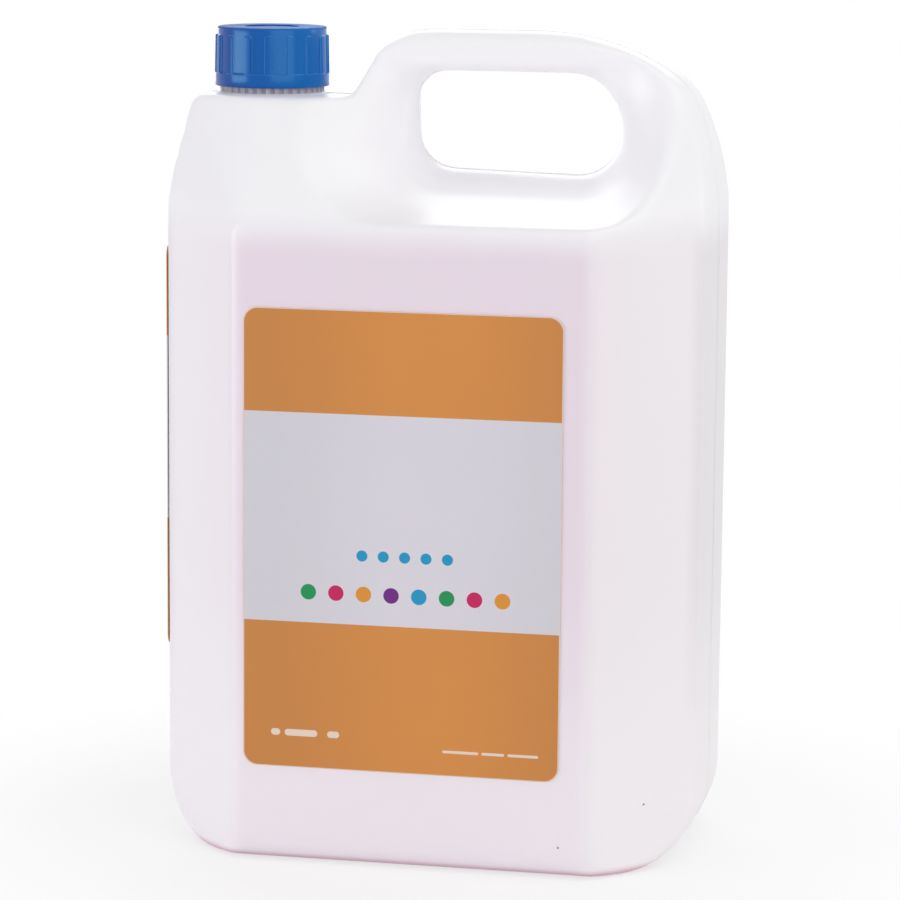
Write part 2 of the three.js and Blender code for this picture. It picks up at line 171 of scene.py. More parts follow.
class Nodes:
    """Short calls for building one material's node tree."""

    def __init__(self, name):
        self.material = bpy.data.materials.new(name)
        self.material.use_nodes = True
        self.tree = self.material.node_tree
        self.shader = self.tree.nodes["Principled BSDF"]
        self.output = self.tree.nodes["Material Output"]
        self.place = self.add("ShaderNodeTexCoord").outputs["Object"]
        split = self.add("ShaderNodeSeparateXYZ")
        self.link(self.place, split.inputs[0])
        self.x, self.y, self.z = split.outputs

    def add(self, kind, **settings):
        node = self.tree.nodes.new(kind)
        for key, value in settings.items():
            setattr(node, key, value)
        return node

    def link(self, output, target):
        self.tree.links.new(output, target)

    def feed(self, value, target):
        """Set a socket to a plain value, or link another node's output to it."""
        if isinstance(value, (int, float, tuple)):
            target.default_value = value
        else:
            self.link(value, target)

    def set(self, **values):
        """Set the shader's own sockets, named with an underscore for each space."""
        for key, value in values.items():
            self.shader.inputs[key.replace("_", " ")].default_value = value

    def colour(self, value):
        self.link(value, self.shader.inputs["Base Color"])

    def math(self, operation, *values):
        node = self.add("ShaderNodeMath", operation=operation)
        for slot, value in enumerate(values):
            self.feed(value, node.inputs[slot])
        return node.outputs[0]

    def ramp(self, value, low, high):
        """0 at low, 1 at high, smooth between; low may be the larger."""
        node = self.add("ShaderNodeMapRange", interpolation_type="SMOOTHSTEP")
        self.link(value, node.inputs["Value"])
        node.inputs["From Min"].default_value = min(low, high)
        node.inputs["From Max"].default_value = max(low, high)
        if low > high:
            node.inputs["To Min"].default_value = 1.0
            node.inputs["To Max"].default_value = 0.0
        return node.outputs[0]

    def band(self, value, start, full, fade, end):
        """0 up to start, 1 from full to fade and 0 again from end, smooth between."""
        return self.math("MULTIPLY", self.ramp(value, start, full), self.ramp(value, end, fade))

    def mix(self, share, first, second):
        node = self.add("ShaderNodeMix", data_type="RGBA")
        for slot, value in ((0, share), (6, first), (7, second)):
            self.feed(value, node.inputs[slot])
        return node.outputs[2]

    def noise(self, scale, detail=3.0, stretch=None):
        node = self.add("ShaderNodeTexNoise")
        vector = self.place
        if stretch:
            mapping = self.add("ShaderNodeMapping")
            mapping.inputs["Scale"].default_value = stretch
            self.link(self.place, mapping.inputs["Vector"])
            vector = mapping.outputs[0]
        self.link(vector, node.inputs["Vector"])
        node.inputs["Scale"].default_value = scale
        node.inputs["Detail"].default_value = detail
        return node.outputs[0]

    def bump(self, *layers):
        """Each layer is (height, distance in metres, strength), the first one lowest."""
        normal = None
        for height, distance, strength in layers:
            node = self.add("ShaderNodeBump")
            node.inputs["Strength"].default_value = strength
            node.inputs["Distance"].default_value = distance
            self.link(height, node.inputs["Height"])
            if normal:
                self.link(normal, node.inputs["Normal"])
            normal = node.outputs[0]
        self.link(normal, self.shader.inputs["Normal"])

    def rounded_shape(self, across, up, centre, half, radius, soft=0.12 * MM):
        """1 inside a rounded rectangle of the given half sizes, 0 outside."""
        reach = []
        for value, middle, size in zip((across, up), centre, half):
            away = self.math("ABSOLUTE", self.math("SUBTRACT", value, middle))
            reach.append(self.math("MAXIMUM", self.math("SUBTRACT", away, size - radius), 0.0))
        square = [self.math("MULTIPLY", value, value) for value in reach]
        distance = self.math("SQRT", self.math("ADD", *square))
        return self.ramp(distance, radius + soft / 2, radius - soft / 2)


# Bottle plastic

# The soap's pink shows most through the broad panels, less through the strips beside them
PANEL_COLOURS = (linear(234, 220, 232), linear(237, 223, 233))
# Painted light: the wall is lighter towards the foot, making up for the shade near the floor
PANEL_FOOT_LIT = linear(246, 237, 244)
STRIP_COLOURS = (linear(248, 239, 244), linear(249, 245, 248))
STRIP_PATCH = linear(248, 242, 246)
STRIP_FOOT_LIT = linear(253, 248, 251)
# Painted shade: the narrow side faces are darker
NARROW_SIDE_SHADE = linear(236, 231, 235)
# Painted shade: a darker pink line along the base edge, where it meets the floor
BASE_EDGE_SHADE = linear(222, 176, 194)
ABOVE_FILL = linear(251, 249, 252)
# Painted shade in the gaps between the small teeth under the cap
RATCHET_GAP_SHADE = linear(206, 186, 204)
SPECK = linear(150, 138, 148)

# Where one colour fades into the next, across from the middle and up from the base
PANEL_FADE = (PANEL_HALF_WIDTH + 4 * MM, PANEL_HALF_WIDTH - 5 * MM)
STRIP_FADE = (PANEL_HALF_WIDTH, 90 * MM)
NARROW_SIDE_SHADE_FADE = (93 * MM, 98 * MM)
LIT_FOOT_FADE = (20 * MM, 120 * MM)
BASE_EDGE_SHADE_FADE = (4 * MM, 0.6 * MM)
FILL_FADE = (SOAP[1].z + 9 * MM, SOAP[1].z - 7 * MM)
FILL_WAVE = 4 * MM

# Small dark specks in the front of the can only: across, up, radius
MOULD_SPECKS = ((54.5 * MM, 12 * MM, 0.4 * MM), (82 * MM, 25 * MM, 0.35 * MM))
FRONT_FADE = (0.0, -10 * MM)

# Painted shade in the gaps between the small teeth under the cap, outwards and upwards: start, full,
# fade, end
RATCHET_SHADE_OUTWARD = (17.0 * MM, 17.5 * MM, 18.5 * MM, 18.8 * MM)
RATCHET_SHADE_UPWARD = (PLATFORM, PLATFORM + 0.2 * MM, PLATFORM + 2.6 * MM, PLATFORM + 2.8 * MM)


def ratchet_gap_shade(nodes):
    """1 in the gaps between the small teeth under the cap, where painted shade darkens the plastic."""
    east = nodes.math("SUBTRACT", nodes.x, NECK_X)
    square = nodes.math("MULTIPLY_ADD", nodes.y, nodes.y, nodes.math("MULTIPLY", east, east))
    away = nodes.math("SQRT", square)
    outward = nodes.band(away, *RATCHET_SHADE_OUTWARD)
    return nodes.math("MULTIPLY", outward, nodes.band(nodes.z, *RATCHET_SHADE_UPWARD))


def soap_pink(nodes):
    """The wall's colour where the soap is behind it, with painted shade on the narrow sides and the base
    edge, and painted light at the foot.
    """
    side = nodes.math("ABSOLUTE", nodes.x)
    over_panel = nodes.ramp(side, *PANEL_FADE)
    patches = nodes.noise(22.0, 2.0, (1.0, 1.0, 0.45))
    panel = nodes.mix(patches, *PANEL_COLOURS)
    strip = nodes.mix(nodes.ramp(side, *STRIP_FADE), *STRIP_COLOURS)
    strip = nodes.mix(patches, strip, STRIP_PATCH)
    # Painted shade on the narrow side faces
    strip = nodes.mix(nodes.ramp(side, *NARROW_SIDE_SHADE_FADE), strip, NARROW_SIDE_SHADE)
    pink = nodes.mix(over_panel, strip, panel)
    # Painted light towards the foot
    foot = nodes.mix(over_panel, STRIP_FOOT_LIT, PANEL_FOOT_LIT)
    pink = nodes.mix(nodes.ramp(nodes.z, *LIT_FOOT_FADE), foot, pink)
    # Painted shade along the base edge
    return nodes.mix(nodes.ramp(nodes.z, *BASE_EDGE_SHADE_FADE), pink, BASE_EDGE_SHADE)


def bottle_material():
    """Natural polyethylene: white, with the soap's pink showing through up to the fill line, and painted
    shade between the teeth under the cap.
    """
    nodes = Nodes("bottle_plastic")
    wavy_height = nodes.math("MULTIPLY_ADD", nodes.noise(28.0, 2.0), FILL_WAVE, nodes.z)
    colour = nodes.mix(nodes.ramp(wavy_height, *FILL_FADE), ABOVE_FILL, soap_pink(nodes))
    # Painted shade between the teeth under the cap
    colour = nodes.mix(ratchet_gap_shade(nodes), colour, RATCHET_GAP_SHADE)
    in_front = nodes.ramp(nodes.y, *FRONT_FADE)
    for across, up, radius in MOULD_SPECKS:
        spot = nodes.rounded_shape(nodes.x, nodes.z, (across, up), (radius, radius), radius)
        colour = nodes.mix(nodes.math("MULTIPLY", spot, in_front), colour, SPECK)
    nodes.colour(colour)
    nodes.set(Roughness=0.34, IOR=1.5, Subsurface_Weight=0.12, Subsurface_Scale=4 * MM,
              Subsurface_Radius=(1.0, 0.85, 0.9))
    nodes.bump((nodes.noise(26.0, 2.0), 0.6 * MM, 0.35), (nodes.noise(900.0, 2.0), 0.06 * MM, 0.3))
    return nodes.material


# Cap plastic

# Painted light: the cap's blue is darker on its left and lighter and more cyan on its lit right side
CAP_SHADED_AND_LIT_COLOURS = (linear(9, 62, 150), linear(0, 95, 176))
# Painted highlight along the ribs' edges and the band's upper step
CAP_EDGE_HIGHLIGHT = linear(60, 132, 206)
CAP_EDGE_HIGHLIGHT_SHARE = 0.55
CAP_ROUGHNESS = 0.2
CAP_TOP_ROUGHNESS = 0.6
CAP_TOP_FADE = (CAP[1].z - 0.65 * MM, CAP[1].z - 0.5 * MM)

# How far the painted highlights on the ribs' edges reach out past the edge, and in from it
RIB_HIGHLIGHT_OUT = 0.04 * MM
RIB_HIGHLIGHT_IN = -0.24 * MM
RIB_HIGHLIGHT_SOFT = 0.1 * MM
RIB_HIGHLIGHT_FADE = (CAP_BAND_TOP, CAP_BAND_TOP + 0.3 * MM)

# The painted highlight on the band's upper step: start, full, fade, end
STEP_HIGHLIGHT = (CAP_BAND_TOP - 0.3 * MM, CAP_BAND_TOP - 0.12 * MM, CAP_BAND_TOP, CAP_BAND_TOP + 0.16 * MM)


def cap_edge_highlights(nodes):
    """Painted highlights: thin lighter lines along the ribs' edges and the band's upper step."""
    turn = nodes.math("ARCTAN2", nodes.y, nodes.math("SUBTRACT", nodes.x, NECK_X))
    share = nodes.math("FRACT", nodes.math("MULTIPLY", turn, 1 / CAP_RIB_PITCH))
    across = nodes.math("MULTIPLY", nodes.math("SUBTRACT", share, 0.5), CAP_RIB_PITCH * CAP_BAND_RADIUS)
    foot = CAP[0].z
    middle = (0.0, (CAP_RIB_TOP + foot) / 2)
    masks = []
    for grow in (RIB_HIGHLIGHT_OUT, RIB_HIGHLIGHT_IN):
        half = (CAP_RIB_HALF + grow, (CAP_RIB_TOP - foot) / 2 + grow)
        corner = CAP_RIB_CORNER + grow
        masks.append(nodes.rounded_shape(across, nodes.z, middle, half, corner, RIB_HIGHLIGHT_SOFT))
    line = nodes.math("MULTIPLY", nodes.math("SUBTRACT", *masks), nodes.ramp(nodes.z, *RIB_HIGHLIGHT_FADE))
    step_highlight = nodes.band(nodes.z, *STEP_HIGHLIGHT)
    return nodes.math("MULTIPLY", nodes.math("MAXIMUM", line, step_highlight), CAP_EDGE_HIGHLIGHT_SHARE)


def cap_material():
    """Satin polypropylene with painted light making it a little bluer towards the handle, painted
    highlights along the ribs, and a matt top face.
    """
    nodes = Nodes("cap_plastic")
    streaks = nodes.math("MULTIPLY_ADD", nodes.noise(45.0, 2.0, (1.0, 1.0, 0.25)), 0.5, -0.25)
    # Painted light across the cap from left to right, with random streaks
    shade = nodes.math("ADD", nodes.ramp(nodes.x, CAP[0].x, CAP[1].x), streaks)
    nodes.colour(nodes.mix(cap_edge_highlights(nodes), nodes.mix(shade, *CAP_SHADED_AND_LIT_COLOURS), CAP_EDGE_HIGHLIGHT))
    roughness = nodes.math("MULTIPLY_ADD", nodes.ramp(nodes.z, *CAP_TOP_FADE),
                           CAP_TOP_ROUGHNESS - CAP_ROUGHNESS, CAP_ROUGHNESS)
    nodes.link(roughness, nodes.shader.inputs["Roughness"])
    nodes.set(IOR=1.5, Specular_Tint=(0.4, 0.9, 1.0, 1.0))
    nodes.bump((nodes.noise(1600.0, 2.0), 0.03 * MM, 0.3))
    return nodes.material


# Soap and sealing disc

SOAP_COLOURS = (linear(233, 196, 217), linear(226, 182, 207))
FOAM_COLOURS = (linear(238, 238, 234), linear(228, 228, 224))


def soap_material():
    nodes = Nodes("soap")
    nodes.colour(nodes.mix(nodes.noise(18.0, 4.0), *SOAP_COLOURS))
    nodes.set(Roughness=0.12, IOR=1.4, Subsurface_Weight=0.4, Subsurface_Scale=10 * MM)
    nodes.bump((nodes.noise(30.0, 2.0), 0.3 * MM, 0.2))
    return nodes.material


def foam_material():
    nodes = Nodes("liner_foam")
    cells = nodes.add("ShaderNodeTexVoronoi")
    nodes.link(nodes.place, cells.inputs["Vector"])
    cells.inputs["Scale"].default_value = 1800.0
    nodes.colour(nodes.mix(nodes.noise(300.0), *FOAM_COLOURS))
    nodes.set(Roughness=0.85)
    nodes.bump((cells.outputs["Distance"], 0.15 * MM, 0.5))
    return nodes.material


def dress(node, material):
    """Give a solid that stays as it is its finished material."""
    piece = bpy.data.objects[node]
    for slot in piece.material_slots:
        slot.material = material
    if not piece.material_slots:
        piece.data.materials.append(material)


# Labels: two orange bands with a pale band between, and plain dots and bars

# The pale band's lower and upper edges, as shares of the label's height
PALE_BAND = (0.3215, 0.777)
BAND_SOFT = 0.1 * MM
LABEL_EDGE = 0.3 * MM
LABEL_EDGE_SOFT = 0.25 * MM
LABEL_CORNER = 5 * MM
LABEL_EDGE_COLOUR = linear(226, 204, 190)
ORANGE = linear(198, 130, 63)
ORANGE_LIT = linear(212, 139, 66)
PALE = linear(208, 206, 213)
PALE_LIT = linear(217, 213, 221)
PRINT_PALE = linear(229, 211, 194)
PRINT_GREY = linear(120, 118, 126)
CYAN = linear(6, 146, 192)
GREEN = linear(4, 140, 78)
MAGENTA = linear(194, 8, 90)
OCHRE = linear(216, 142, 44)
PURPLE = linear(106, 22, 124)

# The sheen's middle, and where it is full, as shares of the label's half width
SHEEN_MIDDLE = 0.15
SHEEN_FULL = 0.1

# Factor and addend that make the sheen uneven from noise
SHEEN_UNEVEN = (0.8, 0.5)

# Rows of small print on the side label, in millimetres from its middle
SIDE_PRINT_ROWS = 7
SIDE_PRINT_TOP = 26.0
SIDE_PRINT_PITCH = 5.4
SIDE_PRINT_LONG = 24.0
SIDE_PRINT_SHORT = 15.0

# The side label's height follows the photograph's left outline
SIDE_LABEL_BOTTOM = 70 * MM
SIDE_LABEL_TOP = 217.2 * MM
SIDE_LABEL_INWARD = 0.12 * MM


def dots(colours, left, pitch, height, radius):
    """A row of round dots, in millimetres from the label's middle."""
    return [(colour, ((left + pitch * index) * MM, height * MM), (radius * MM, radius * MM))
            for index, colour in enumerate(colours)]


def bars(colour, spans, height, half_height):
    """A row of bars, each given by its left end and length, in millimetres from the label's middle."""
    return [(colour, ((left + length / 2) * MM, height * MM), (length / 2 * MM, half_height * MM))
            for left, length in spans]


def front_shapes():
    """Plain shapes in the places of the front label's lettering: (colour, centre, half size)."""
    return (dots([CYAN] * 5, -14.0, 7.7, -4.6, 2.0)
            + dots([GREEN, MAGENTA, OCHRE, PURPLE, CYAN, GREEN, MAGENTA, OCHRE], -33.4, 10.0, -18.4, 2.8)
            + bars(PRINT_PALE, [(-47.0, 3.4), (-42.0, 12.0), (-26.4, 4.4)], -69.8, 1.2)
            + bars(PRINT_PALE, [(15.5, 13.0), (29.6, 8.2), (39.0, 11.0)], -73.6, 0.5))


def side_shapes():
    """Plain bars in the place of the side label's small print, and one blue bar below them."""
    shapes = []
    for row in range(SIDE_PRINT_ROWS):
        half = SIDE_PRINT_LONG if row % 3 else SIDE_PRINT_SHORT
        shapes += bars(PRINT_GREY, [(-half, 2 * half)], SIDE_PRINT_TOP - SIDE_PRINT_PITCH * row, 0.8)
    return shapes + bars(CYAN, [(-26.0, 52.0)], -18.0, 3.2)


def label_material(name, low, high, axis, shapes, edge):
    """Printed film between two corners, with its width along the axis and a bare edge round it."""
    nodes = Nodes(name)
    across = (nodes.x, nodes.y)[axis]
    middle = (low + high) / 2
    half_width = (high[axis] - low[axis]) / 2
    tall = high.z - low.z
    lower, upper = (low.z + share * tall for share in PALE_BAND)
    from_sheen = nodes.math("SUBTRACT", across, middle[axis] + SHEEN_MIDDLE * half_width)
    sheen = nodes.ramp(nodes.math("ABSOLUTE", from_sheen), half_width, SHEEN_FULL * half_width)
    uneven = nodes.math("MULTIPLY_ADD", nodes.noise(16.0, 2.0), *SHEEN_UNEVEN)
    sheen = nodes.math("MULTIPLY", sheen, uneven)
    pale = nodes.band(nodes.z, lower - BAND_SOFT, lower + BAND_SOFT, upper - BAND_SOFT, upper + BAND_SOFT)
    colour = nodes.mix(pale, nodes.mix(sheen, ORANGE, ORANGE_LIT), nodes.mix(sheen, PALE, PALE_LIT))
    for ink, centre, size in shapes:
        place = (middle[axis] + centre[0], middle.z + centre[1])
        mask = nodes.rounded_shape(across, nodes.z, place, size, min(size))
        colour = nodes.mix(mask, colour, ink)
    if edge > 0:
        inner = nodes.rounded_shape(across, nodes.z, (middle[axis], middle.z),
                                    (half_width - edge, tall / 2 - edge), LABEL_CORNER, LABEL_EDGE_SOFT)
        colour = nodes.mix(inner, LABEL_EDGE_COLOUR, colour)
    nodes.colour(colour)
    nodes.set(Roughness=0.42, IOR=1.45)
    nodes.bump((nodes.noise(40.0, 2.0), 0.2 * MM, 0.25), (nodes.noise(1400.0, 2.0), 0.03 * MM, 0.35))
    return nodes.material


def fine_side_label():
    """The side label at the full height that the photograph's left outline shows."""
    low, high = SIDE_LABEL
    label = mesh_object("side_label_sheet", bpy.data.objects["side_label"].data.copy())
    stretch = (SIDE_LABEL_TOP - SIDE_LABEL_BOTTOM) / (high.z - low.z)
    for vert in label.data.vertices:
        vert.co.z = SIDE_LABEL_BOTTOM + (vert.co.z - low.z) * stretch
        vert.co.x += SIDE_LABEL_INWARD
    low = Vector((low.x, low.y, SIDE_LABEL_BOTTOM))
    high = Vector((high.x, high.y, SIDE_LABEL_TOP))
    paint(label, label_material("side_print", low, high, 1, side_shapes(), 0))
    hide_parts("side_label")
    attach(label, "bottle")


# Mesh helpers

def mesh_object(name, mesh):
    piece = bpy.data.objects.new(name, mesh)
    bpy.context.collection.objects.link(piece)
    return piece


def object_from(name, points, faces):
    """A closed piece from points and faces, with its normals pointing out."""
    mesh = bpy.data.meshes.new(name)
    mesh.from_pydata([tuple(point) for point in points], [], faces)
    mesh.validate()
    bm = bmesh.new()
    bm.from_mesh(mesh)
    bmesh.ops.remove_doubles(bm, verts=bm.verts, dist=1e-7)
    bmesh.ops.recalc_face_normals(bm, faces=bm.faces)
    bm.to_mesh(mesh)
    bm.free()
    return mesh_object(name, mesh)


def paint(piece, material):
    piece.data.materials.clear()
    piece.data.materials.append(material)


def apply_modifiers(piece):
    depsgraph = bpy.context.evaluated_depsgraph_get()
    mesh = bpy.data.meshes.new_from_object(piece.evaluated_get(depsgraph))
    piece.modifiers.clear()
    piece.data = mesh


def boolean(piece, operation, tool):
    modifier = piece.modifiers.new("boolean", "BOOLEAN")
    modifier.operation = operation
    modifier.solver = "MANIFOLD"
    modifier.object = tool
    apply_modifiers(piece)


def remove(*pieces):
    for piece in pieces:
        bpy.data.objects.remove(piece)


def smooth(piece, angle):
    """Shade smooth, apart from edges sharper than the angle in degrees."""
    mesh = piece.data
    mesh.polygons.foreach_set("use_smooth", [True] * len(mesh.polygons))
    mesh.set_sharp_from_angle(angle=math.radians(angle))


def read_array(items, field, width, kind=float):
    """One row of numbers for each vertex or edge."""
    values = np.empty(width * len(items), dtype=kind)
    items.foreach_get(field, values)
    return values.reshape(-1, width)


def write_points(mesh, points):
    mesh.vertices.foreach_set("co", points.ravel())
    mesh.update()


def cylinder(name, radius, low, high, segments=96):
    """A closed cylinder about the neck's axis."""
    points = []
    for z in (low, high):
        for step in range(segments):
            angle = 2 * math.pi * step / segments
            points.append((NECK_X + radius * math.cos(angle), radius * math.sin(angle), z))
    faces = [tuple(range(segments)), tuple(range(2 * segments - 1, segments - 1, -1))]
    for step in range(segments):
        ahead = (step + 1) % segments
        faces.append((step, ahead, segments + ahead, segments + step))
    return object_from(name, points, faces)


def thread_ridge(name, wall, crest, low, turns):
    """A screw thread's ridge round the neck's axis, from the wall radius to the crest radius."""
    count = int(THREAD_STEPS * turns)
    sunk = wall - math.copysign(THREAD_SUNK, crest - wall)
    points, faces = [], []
    for step in range(count + 1):
        angle = 2 * math.pi * step / THREAD_STEPS
        grown = min(step, count - step) / THREAD_FADE_STEPS
        top = sunk + (crest - sunk) * min(1.0, THREAD_END_SHARE + grown)
        middle = low + THREAD_PITCH * angle / (2 * math.pi)
        section = ((sunk, -THREAD_HALF_FOOT), (top, -THREAD_HALF_CREST),
                   (top, THREAD_HALF_CREST), (sunk, THREAD_HALF_FOOT))
        for radius, rise in section:
            points.append((NECK_X + radius * math.cos(angle), radius * math.sin(angle), middle + rise))
    for step in range(count):
        for corner in range(4):
            near = 4 * step + corner
            far = 4 * step + (corner + 1) % 4
            faces.append((near, far, far + 4, near + 4))
    faces.append((0, 1, 2, 3))
    faces.append(tuple(4 * count + corner for corner in (3, 2, 1, 0)))
    return object_from(name, points, faces)


# Bottle

def neck_distance(point):
    return math.hypot(point.x - NECK_X, point.y)


def welded_shell():
    bm = bmesh.new()
    bm.from_mesh(bpy.data.objects["bottle"].data)
    bmesh.ops.remove_doubles(bm, verts=bm.verts, dist=1e-6)
    bm.faces.ensure_lookup_table()
    return bm


def outer_faces():
    """The indices of the faces that join up with the outermost one without entering the bore."""
    def in_bore(face):
        return all(neck_distance(vert.co) < BORE_RADIUS + 0.1 * MM and vert.co.z > SHOULDER
                   for vert in face.verts)

    bm = welded_shell()
    start = max(bm.faces, key=lambda face: face.calc_center_median().x)
    outer = {start}
    front = [start]
    while front:
        for edge in front.pop().edges:
            for other in edge.link_faces:
                if other not in outer and not in_bore(other):
                    outer.add(other)
                    front.append(other)
    indices = {face.index for face in outer}
    bm.free()
    return indices


def split_shell():
    """The shell's outer skin and its inside, each closed across the mouth of the neck."""
    outer = outer_faces()
    pieces = []
    for name, keep_outer in (("outer_skin", True), ("inside", False)):
        bm = welded_shell()
        gone = [face for face in bm.faces if (face.index in outer) != keep_outer]
        bmesh.ops.delete(bm, geom=gone, context="FACES")
        rim = [edge for edge in bm.edges if edge.is_boundary]
        if not keep_outer:
            raised = bmesh.ops.extrude_edge_only(bm, edges=rim)["geom"]
            for item in raised:
                if isinstance(item, bmesh.types.BMVert):
                    item.co.z += MOUTH_RISE
            rim = [edge for edge in bm.edges if edge.is_boundary]
        bmesh.ops.holes_fill(bm, edges=rim, sides=0)
        bmesh.ops.triangulate(bm, faces=bm.faces)
        bmesh.ops.recalc_face_normals(bm, faces=bm.faces)
        mesh = bpy.data.meshes.new(name)
        bm.to_mesh(mesh)
        bm.free()
        pieces.append(mesh_object(name, mesh))
    return pieces


def relax(points, edges, weight, rounds):
    """Even out creases and facets in place, without shrinking the form."""
    first, second = edges[:, 0], edges[:, 1]
    count = np.bincount(edges.ravel(), minlength=len(points))[:, None]
    for factor in (0.5, -0.52) * rounds:
        total = np.stack([
            np.bincount(first, points[second, axis], len(points))
            + np.bincount(second, points[first, axis], len(points)) for axis in range(3)], axis=1)
        points += factor * weight[:, None] * (total / count - points)


def smoothstep(value, low, high):
    share = np.clip((value - low) / (high - low), 0, 1)
    return share * share * (3 - 2 * share)


def refine_body(body):
    """Round off the body's facets and blends, and lower its skin a little for the parting line."""
    remesh = body.modifiers.new("remesh", "REMESH")
    remesh.mode = "VOXEL"
    remesh.voxel_size = VOXEL
    apply_modifiers(body)
    mesh = body.data
    points = read_array(mesh.vertices, "co", 3)
    edges = read_array(mesh.edges, "vertices", 2, int)
    relax(points, edges, np.ones(len(points)), RELAX_ROUNDS)
    by_grip = smoothstep(points[:, 0], *GRIP_FADE_X) * smoothstep(points[:, 2], *GRIP_FADE_Z)
    relax(points, edges, by_grip, GRIP_RELAX_ROUNDS)
    write_points(mesh, points)
    normals = read_array(mesh.vertices, "normal", 3)
    near_parting = np.exp(-(points[:, 1] / PARTING_SINK_REACH) ** 2)
    above_base = normals[:, 2] > BASE_NORMAL
    sunk = (SKIN_SUNK + PARTING_RIDGE * near_parting) * above_base
    points -= normals * sunk[:, None]
    write_points(mesh, np.clip(points, np.array(BOTTLE[0]), np.array(BOTTLE[1])))


def parting_loops(body):
    """Where the body meets its parting plane: lists of points in order."""
    bm = bmesh.new()
    bm.from_mesh(body.data)
    cut = bmesh.ops.bisect_plane(bm, geom=bm.verts[:] + bm.edges[:] + bm.faces[:], dist=1e-7,
                                 plane_co=(0, 0, 0), plane_no=(0, 1, 0))
    near = {}
    for item in cut["geom_cut"]:
        if isinstance(item, bmesh.types.BMEdge):
            a, b = item.verts
            near.setdefault(a, []).append(b)
            near.setdefault(b, []).append(a)
    loops = []
    taken = set()
    for first in near:
        if first in taken:
            continue
        loop = []
        ahead = [first]
        while ahead:
            vert = ahead[0]
            taken.add(vert)
            loop.append(vert)
            ahead = [other for other in near[vert] if other not in taken]
        loops.append([vert.co.copy() for vert in loop])
    bm.free()
    return loops


def outward_sign(loop):
    """1 or -1, so that a loop's sideways direction points out of the plastic."""
    turn = sum(here.x * ahead.z - here.z * ahead.x for here, ahead in zip(loop, loop[1:] + loop[:1]))
    outer = max(point.x for point in loop) > 0.9 * BOTTLE[1].x
    return math.copysign(1.0, turn) * (1 if outer else -1)


def ridge_sections(loop):
    """The ridge's sections along a loop, and for each whether it stands clear of the cap."""
    count = len(loop)
    sign = outward_sign(loop)
    sections, clear = [], []
    for i in range(0, count, 2):
        here = loop[i]
        along = (loop[(i + 3) % count] - loop[i - 3]).normalized()
        out = Vector((along.z, 0, -along.x)) * sign
        under_cap = abs(here.x - NECK_X) < PARTING_CAP_RADIUS and here.z > PARTING_CAP_FOOT
        clear.append(not under_cap)
        section = []
        for side, height in PARTING_SECTION:
            place = here + out * height * PARTING_RIDGE
            x, z = (min(max(place[axis], BOTTLE[0][axis]), BOTTLE[1][axis]) for axis in (0, 2))
            section.append((x, side * PARTING_HALF_WIDTH, z))
        sections.append(section)
    return sections, clear


def parting_ridge(body, material):
    """The fine raised line that the mould leaves, all round but under the cap."""
    points, faces = [], []
    for loop in parting_loops(body):
        if len(loop) < PARTING_LEAST_POINTS:
            continue
        start = len(points)
        sections, clear = ridge_sections(loop)
        points += [point for section in sections for point in section]
        for i in range(len(sections)):
            ahead = (i + 1) % len(sections)
            if not clear[i]:
                continue
            corners = [start + 4 * i + k for k in range(4)]
            if not clear[i - 1]:
                faces.append(tuple(corners))
            if not clear[ahead]:
                faces.append(tuple(reversed(corners)))
                continue
            shift = 4 * (ahead - i)
            for k in range(4):
                near, side = corners[k], corners[(k + 1) % 4]
                faces.append((near, side, side + shift, near + shift))
    used = sorted({index for face in faces for index in face})
    place = {index: new for new, index in enumerate(used)}
    ridge = object_from("parting_line", [points[index] for index in used],
                        [tuple(place[index] for index in face) for face in faces])
    paint(ridge, material)
    smooth(ridge, RIDGE_SHARP)
    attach(ridge, "bottle")


def fine_bottle(material):
    """The can with rounder blends than its solid, its neck's thread and its parting line."""
    body, inside = split_shell()
    neck = mesh_object("neck", body.data.copy())
    above = cylinder("above_platform", NECK_CLEAR_RADIUS, PLATFORM + 0.02 * MM, ABOVE_LIP)
    boolean(body, "DIFFERENCE", above)
    around = cylinder("around_neck", NECK_CLEAR_RADIUS, PLATFORM - NECK_ROOT_DEPTH, ABOVE_LIP)
    boolean(neck, "INTERSECT", around)
    refine_body(body)
    parting_ridge(body, material)
    thread = thread_ridge("neck_thread", NECK_RADIUS, NECK_THREAD_CREST,
                          NECK_THREAD_START, NECK_THREAD_TURNS)
    for tool in (neck, thread):
        boolean(body, "UNION", tool)
    boolean(body, "DIFFERENCE", inside)
    remove(neck, above, around, thread, inside)
    body.name = body.data.name = "bottle_shell"
    paint(body, material)
    smooth(body, BOTTLE_SHARP)
    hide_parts("bottle")
    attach(body, "bottle")


# Cap

